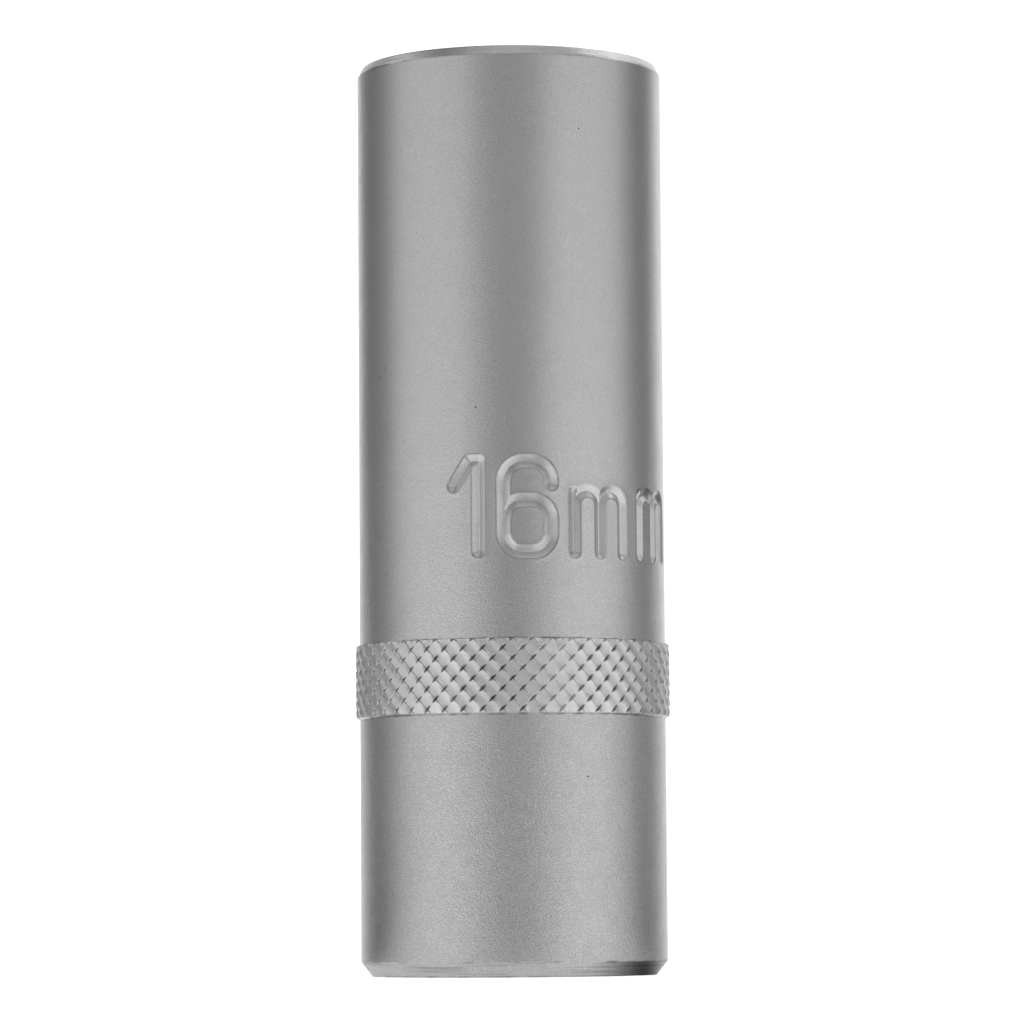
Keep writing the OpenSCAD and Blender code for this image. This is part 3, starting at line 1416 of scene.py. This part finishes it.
    def _in_field(self, corner: Vector) -> bool:
        """Whether a corner lies on the barrel in the field that is stamped.

        Args:
            corner: The corner.

        Returns:
            True if it does.
        """
        low, high = self.mark.window
        around, up = self._on_barrel(corner)
        on_barrel = abs(corner.xy.length - self.radius) < self.field_depth
        in_height = low[1] - self.field_slack < up < high[1] + self.field_slack
        return on_barrel and in_height and low[0] < around < high[0]

    def _stamp(self, body: Piece) -> None:
        """Refine the marked field and press the size mark into it.

        Args:
            body: The barrel with its knurl.
        """
        Bench.edit(body, Pick.FACES)
        Bench.select(body, Pick.FACES, self._in_field)
        bpy.ops.mesh.subdivide(number_cuts=self.field_cuts, quadcorner="INNERVERT")
        Bench.leave()
        for vertex in body.data.vertices:
            if self._in_field(vertex.co):
                height = self.mark.relief(self._on_barrel(vertex.co))
                scale = (self.radius + height * MM) / vertex.co.xy.length
                vertex.co.x *= scale
                vertex.co.y *= scale

    def _darkened_edges(self) -> list[DarkenedEdge]:
        """The darkened edges of the foot, the knurl and the mouth, with painted shade at the foot's rim
        and at the knurl's steps.

        Returns:
            The edges.
        """
        low, high = self.foot_contact_shade
        mouth = self.length - self.mouth_chamfer[1]
        return [
            # Painted contact shadow along the foot's rim, where it stands on the floor.
            DarkenedEdge((low + high) / 2, dark=0.5, uneven=0.8, patch=0.9 * MM, reach=(high - low) / 2),
            DarkenedEdge(self.foot_chamfer[1], dark=0.1, uneven=0.6, patch=0.9 * MM),
            # Painted shade at the steps where the knurl stands proud of the barrel.
            *(DarkenedEdge(height, dark=0.2, uneven=1.3, patch=0.7 * MM) for height in self._band_edges),
            DarkenedEdge(mouth, dark=0.56, uneven=0.7, patch=0.6 * MM, seam=(-10.5, 4)),
        ]

    def _tones(self, corner: Vector, edges: Sequence[DarkenedEdge]) -> Point:
        """How dark and how bright a corner of the outside is.

        Args:
            corner: The corner.
            edges: The dirty edges.

        Returns:
            The share of dark and the share of bright.
        """
        around, up = self._on_barrel(corner)
        low, high = self.mark.window
        if self.knurl.foot <= corner.z <= self.knurl.top:
            # Painted shade in the knurl's craters and fine lines, uneven, and lighter round the place of
            # pale craters.
            place = self.knurl.place(around * MM / self.radius, corner.z)
            crater_shade_strength = self.crater_shade + self.crater_shade_uneven * noise.noise(corner / self.crater_shade_patch)
            past = (around - self.pale_craters_at) / self.pale_craters_reach
            crater_shade_strength -= self.pale_craters_share * math.exp(-(past**2))
            return min(1.0, crater_shade_strength * self.knurl.shade_share(*place)), 1.0
        if low[0] < around < high[0] and low[1] < up < high[1]:
            # Painted shade on the strokes' outlines; the bright share holds a painted highlight along
            # their creases.
            outline, inside = self.mark.tone((around, up))
            return self.mark_outline_shade * outline, inside
        return max(edge.tone(corner, around) for edge in edges), 0.0

    def _note_tones(self, body: Piece) -> None:
        """Store with each corner of the outside its painted shade or darkening, and how bright it is.

        Args:
            body: The finished body.
        """
        shade_and_marks = body.data.attributes.new(SHADE_AND_MARKS, "FLOAT", "POINT")
        rolled = body.data.attributes.new(ROLLED_AND_HIGHLIGHT, "FLOAT", "POINT")
        edges = self._darkened_edges()
        for vertex, dark, bright in zip(body.data.vertices, shade_and_marks.data, rolled.data):
            if vertex.co.xy.length >= self.radius - self.skin:
                dark.value, bright.value = self._tones(vertex.co, edges)


@dataclass
class RubberSleeve:
    """The rubber sleeve in the bore: ribbed outside, flared at the top, with moulded soft edges."""

    box: tuple[Vector, Vector]
    rib_height: float = 0.3 * MM
    rib_width: float = 2.4 * MM
    rib_count: int = 3
    grip_radius: float = 5.2 * MM
    flare_height: float = 5 * MM
    flare_rim: float = 0.7 * MM
    edge_round: float = 0.28 * MM
    crease_deg: float = 40.0
    past: float = 1 * MM
    sides: int = 144

    def build(self, rubber: Material) -> Piece:
        """Model the sleeve and dress it.

        Args:
            rubber: Its finish.

        Returns:
            The finished piece.
        """
        low, high = self.box
        sleeve = turn_solid("rubber_sleeve_dressed", self._outside(low.z, high.z, high.x), self.sides)
        bevel = sleeve.modifiers.new("soft_edges", "BEVEL")
        bevel.width = self.edge_round
        bevel.segments = ROUND_STEPS
        Bench.apply(sleeve, bevel)
        plug_way = turn_solid("plug_way", self._inside(low.z, high.z, high.x), self.sides)
        Bench.combine(sleeve, plug_way, Cut.TAKE_AWAY)
        sleeve.data.materials.clear()
        sleeve.data.materials.append(rubber)
        Bench.finish(sleeve, self.crease_deg)
        return sleeve

    def _outside(self, foot: float, top: float, radius: float) -> list[Ring]:
        """The ribbed outside.

        Args:
            foot: Height of its lower end.
            top: Height of its upper end.
            radius: Radius of the ribs.

        Returns:
            The rings.
        """
        core = radius - self.rib_height
        gap = (top - foot - self.rib_count * self.rib_width) / (self.rib_count - 1)
        rings = []
        for rib in range(self.rib_count):
            start = foot + rib * (self.rib_width + gap)
            if rib > 0:
                rings.append(Ring(core, start - self.rib_height))
            rings += [Ring(radius, start), Ring(radius, start + self.rib_width)]
            if rib < self.rib_count - 1:
                rings.append(Ring(core, start + self.rib_width + self.rib_height))
        return rings

    def _inside(self, foot: float, top: float, radius: float) -> list[Ring]:
        """The way for the plug, with its flared entry.

        Args:
            foot: Height of its lower end.
            top: Height of its upper end.
            radius: Radius of the ribs.

        Returns:
            The rings.
        """
        rim = radius - self.rib_height - self.flare_rim
        slope = (rim - self.grip_radius) / self.flare_height
        return [
            Ring(self.grip_radius, foot - self.past),
            Ring(self.grip_radius, top - self.flare_height),
            Ring(rim + slope * self.past, top + self.past),
        ]


@dataclass(frozen=True)
class Softbox:
    """A large soft lamp that faces the socket."""

    name: str
    azimuth_deg: float
    elevation_deg: float
    distance: float
    size: Point
    radiance: float

    def build(self, target: Vector) -> None:
        """Hang the lamp.

        Args:
            target: The point that it faces.
        """
        width, height = self.size
        lamp = bpy.data.lights.new(self.name, "AREA")
        lamp.shape = "RECTANGLE"
        lamp.size, lamp.size_y = width, height
        lamp.energy = self.radiance * math.pi * width * height
        holder = bpy.data.objects.new(self.name, lamp)
        turn, lift = math.radians(self.azimuth_deg), math.radians(self.elevation_deg)
        away = Vector((math.sin(turn) * math.cos(lift), -math.cos(turn) * math.cos(lift), math.sin(lift)))
        holder.location = target + away * self.distance
        holder.rotation_euler = away.to_track_quat("Z", "Y").to_euler()
        holder.visible_camera = False
        bpy.context.scene.collection.objects.link(holder)


@dataclass(frozen=True)
class ShadeCard:
    """A grey fan laid on the floor beside the socket, which only reflections see.

    It fades out over the soft shares of its width and of its length.
    """

    name: str
    azimuth_deg: float
    reach: Point
    half_spread_deg: float
    grey: float
    soft: Point = (0.22, 0.02)
    pivot: Point = (0.0, 0.0)
    lift: float = 0.05 * MM

    def build(self) -> None:
        """Lay the card."""
        near, far = self.reach
        turn = math.radians(self.azimuth_deg)
        middle = Vector((math.sin(turn), -math.cos(turn), 0)) * (near + far) / 2
        middle += Vector((*self.pivot, self.lift))
        width = 2 * far * math.tan(math.radians(self.half_spread_deg))
        card = flat_sheet(self.name, (width, far - near), middle, (0, 0, self.azimuth_deg), near / far)
        card.visible_camera = False
        card.visible_diffuse = False
        card.visible_shadow = False
        card.data.materials.append(self._material())

    def _material(self) -> Material:
        """Grey that fades out towards the card's edges.

        Returns:
            The material.
        """
        material, net = new_material(self.name)
        shares = []
        sides = net.split(net.add("ShaderNodeTexCoord").outputs["UV"])
        for side, soft in zip(sides, self.soft):
            off = net.math("ABSOLUTE", net.math("SUBTRACT", side, 0.5))
            shares.append(net.ramp(off, 0.5 - soft, 0.5, 1.0, 0.0))
        light = net.add("ShaderNodeEmission")
        net.feed(light, Color=(self.grey, self.grey, self.grey, 1), Strength=1.0)
        clear = net.add("ShaderNodeBsdfTransparent")
        net.show(net.mix_shaders(net.math("MULTIPLY", *shares), clear, light))
        return material


@dataclass
class Studio:
    """A pale floor and backdrop, shade cards, soft lamps and the camera of the photograph."""

    middle: Vector
    floor_half_width: float = 1.5
    floor_seen: Point = (0.74, 1.0)
    floor_mirrored: Point = (0.5, 0.72)
    floor_behind: float = 0.28
    floor_drop: float = 0.02 * MM
    floor_fade: Point = (0.012, 0.25)
    mirrored_fade: Point = (0.0115, 0.015)
    behind_fade: Point = (0.0, 20 * MM)
    paper: Colour = (0.8, 0.8, 0.8, 1)
    backdrop_at: float = 0.62
    backdrop_span: Point = (-0.34, 0.53)
    backdrop_height: float = 1.0
    world_light: float = 0.18
    camera_distance: float = 346.85 * MM
    camera_height: float = 4.74 * MM
    camera_side: float = 0.03 * MM
    camera_pitch_deg: float = 4.667
    camera_roll_deg: float = 0.407
    camera_lens: float = 170.8
    camera_sensor: float = 36.0
    camera_near: float = 10 * MM
    lamps: tuple[Softbox, ...] = (
        Softbox("left_softbox", -61.5, 3, 0.42, (0.62, 0.56), 0.45),
        Softbox("right_softbox", 59.5, 3, 0.42, (0.6, 0.56), 0.48),
        Softbox("over_softbox", 5, 66, 0.5, (0.5, 0.42), 0.48),
        Softbox("left_rim", -108, 40, 0.5, (0.3, 0.26), 0.7),
        Softbox("right_rim", 110, 48, 0.5, (0.3, 0.28), 1.3),
        Softbox("front_fill", 0, 24, 0.62, (0.3, 0.46), 0.19),
    )
    cards: tuple[ShadeCard, ...] = (
        ShadeCard("left_card", -119.5, (9 * MM, 620 * MM), 23, 0.05, (0.06, 0.01), (-5.2 * MM, -7.8 * MM)),
        ShadeCard("right_card", 120, (9 * MM, 620 * MM), 22, 0.01, (0.06, 0.01), (4.5 * MM, -8 * MM)),
        ShadeCard("front_card", 0, (26 * MM, 330 * MM), 17, 0.03),
        ShadeCard("under_card", 0, (8 * MM, 44 * MM), 24, 0.5, soft=(0.22, 0.3)),
        # The foot card is a painted contact shadow, which the foot chamfer shows in reflection.
        ShadeCard("foot_shadow_card", 64, (6 * MM, 14 * MM), 36, 0.06, soft=(0.5, 0.3), lift=0.03 * MM),
    )

    def build(self) -> None:
        """Set the stage, the lamps and the camera."""
        self._floor()
        self._backdrop()
        for card in self.cards:
            card.build()
        for lamp in self.lamps:
            lamp.build(self.middle)
        self._world()
        self._camera()
        bpy.context.scene.view_settings.view_transform = "Standard"

    def _pale(self, name: str, seen: Point, mirrored: Point, behind: float = 0.0) -> Material:
        """A pale matte finish that also shows as white to the camera and in reflections.

        It has one side only, so that the socket's underside can be looked at through it.

        Args:
            name: Name of the finish.
            seen: How much of the white is its own for the camera, close to the socket and far from it.
            mirrored: The same in reflections.
            behind: What reflections of the place behind the socket gain.

        Returns:
            The material.
        """
        material, net = new_material(name)
        path = net.add("ShaderNodeLightPath").outputs
        place = net.add("ShaderNodeTexCoord").outputs["Object"]
        length = net.add("ShaderNodeVectorMath", operation="LENGTH")
        net.put(length.inputs[0], place)
        away = length.outputs["Value"]
        direct = net.math("MULTIPLY", net.ramp(away, *self.floor_fade, *seen), path["Is Camera Ray"])
        # In reflections the floor is dimmer close to the socket: a painted contact shadow.
        white = net.ramp(away, *self.mirrored_fade, *mirrored)
        white = net.math("ADD", white, net.ramp(net.split(place)[1], *self.behind_fade, 0.0, behind))
        passed = net.math("MAXIMUM", path["Is Glossy Ray"], path["Is Transmission Ray"])
        passed = net.math("MULTIPLY", passed, white)
        matte = net.feed(net.add("ShaderNodeBsdfDiffuse"), Color=self.paper)
        light = net.add("ShaderNodeEmission")
        net.feed(light, Color=(1, 1, 1, 1), Strength=net.math("ADD", direct, passed))
        both = net.add("ShaderNodeAddShader")
        for socket, part in zip(both.inputs, (matte, light)):
            net.put(socket, part.outputs[0])
        back = net.add("ShaderNodeNewGeometry").outputs["Backfacing"]
        net.show(net.mix_shaders(back, both, net.add("ShaderNodeBsdfTransparent")))
        return material

    def _floor(self) -> None:
        """Lay the pale floor."""
        side = 2 * self.floor_half_width
        floor = flat_sheet("floor", (side, side), Vector((0, 0, -self.floor_drop)), (0, 0, 0))
        paper = self._pale("floor_paper", self.floor_seen, self.floor_mirrored, self.floor_behind)
        floor.data.materials.append(paper)

    def _backdrop(self) -> None:
        """Stand the white backdrop behind the socket."""
        left, right = self.backdrop_span
        middle = Vector(((left + right) / 2, self.backdrop_at, self.backdrop_height / 2))
        backdrop = flat_sheet("backdrop", (right - left, self.backdrop_height), middle, (90, 0, 0))
        backdrop.data.materials.append(self._pale("backdrop_paper", (1.0, 1.0), (1.0, 1.0)))

    def _world(self) -> None:
        """Light the room evenly, and show it white to the camera."""
        world = bpy.data.worlds.new("room")
        bpy.context.scene.world = world
        world.use_nodes = True
        net = ShaderNet(world.node_tree)
        path = net.add("ShaderNodeLightPath")
        strength = net.ramp(path.outputs["Is Camera Ray"], 0.0, 1.0, self.world_light, 1.0)
        sky = net.add("ShaderNodeBackground")
        net.feed(sky, Color=(1, 1, 1, 1), Strength=strength)
        net.feed(net.add("ShaderNodeOutputWorld"), Surface=sky.outputs[0])

    def _camera(self) -> None:
        """Place the camera low in front, looking slightly up."""
        lens = bpy.data.cameras.new("photo_camera")
        lens.lens = self.camera_lens
        lens.sensor_width = self.camera_sensor
        lens.clip_start = self.camera_near
        camera = bpy.data.objects.new("photo_camera", lens)
        bpy.context.scene.collection.objects.link(camera)
        place = Matrix.Translation((self.camera_side, -self.camera_distance, self.camera_height))
        tilt = Matrix.Rotation(math.radians(90 + self.camera_pitch_deg), 4, "X")
        roll = Matrix.Rotation(math.radians(-self.camera_roll_deg), 4, "Z")
        camera.matrix_world = place @ tilt @ roll
        bpy.context.scene.camera = camera


SATIN_CHROME = MetalFinish(
    name="satin_chrome",
    base=(0.69, 0.69, 0.7, 1),
    shade=(0.5, 0.5, 0.51, 1),
    shade_and_marks=(0.14, 0.14, 0.14, 1),
    rolled=(0.79, 0.79, 0.8, 1),
    roughness=(0.3, 0.35),
)
TURNED_CHROME = MetalFinish(
    name="turned_chrome",
    base=(0.66, 0.66, 0.67, 1),
    shade=(0.5, 0.5, 0.51, 1),
    shade_and_marks=(0.14, 0.14, 0.14, 1),
    rolled=(0.74, 0.74, 0.75, 1),
    roughness=(0.26, 0.36),
    line_pitch=0.2 * MM,
    line_depth=0.05 * MM,
)
FORMED_STEEL = MetalFinish(
    name="formed_steel",
    base=(0.52, 0.52, 0.52, 1),
    shade=(0.38, 0.38, 0.38, 1),
    shade_and_marks=(0.12, 0.12, 0.12, 1),
    rolled=(0.34, 0.34, 0.34, 1),
    roughness=(0.4, 0.55),
    grain_size=0.2 * MM,
    grain_depth=0.02 * MM,
)
BLACK_RUBBER = RubberFinish(
    name="black_rubber",
    base=(0.022, 0.022, 0.022, 1),
    dust=(0.05, 0.05, 0.048, 1),
    roughness=(0.55, 0.72),
)


def set_piece(piece: Piece, node: str) -> None:
    """Let a modelled piece stand for its solid.

    Args:
        piece: The modelled piece.
        node: The solid's node.
    """
    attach(piece, "root")
    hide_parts(node)
    triangles = sum(len(face.vertices) - 2 for face in piece.data.polygons)
    LOG.info("%s stands for %s with %d triangles", piece.name, node, triangles)


def main() -> None:
    """Model the pieces, set the studio and note the sizes."""
    logging.basicConfig(level=logging.INFO, format="%(name)s: %(message)s")
    effects = Effects()
    body = SocketBody(box=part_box(BODY_NODE)).build(
        SATIN_CHROME.material(effects), TURNED_CHROME.material(effects), FORMED_STEEL.material(effects)
    )
    set_piece(body, BODY_NODE)
    sleeve = RubberSleeve(box=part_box(SLEEVE_NODE)).build(BLACK_RUBBER.material(effects))
    set_piece(sleeve, SLEEVE_NODE)
    Studio(middle=(CAD_BOX[0] + CAD_BOX[1]) / 2).build()


if __name__ == "__main__":
    main()
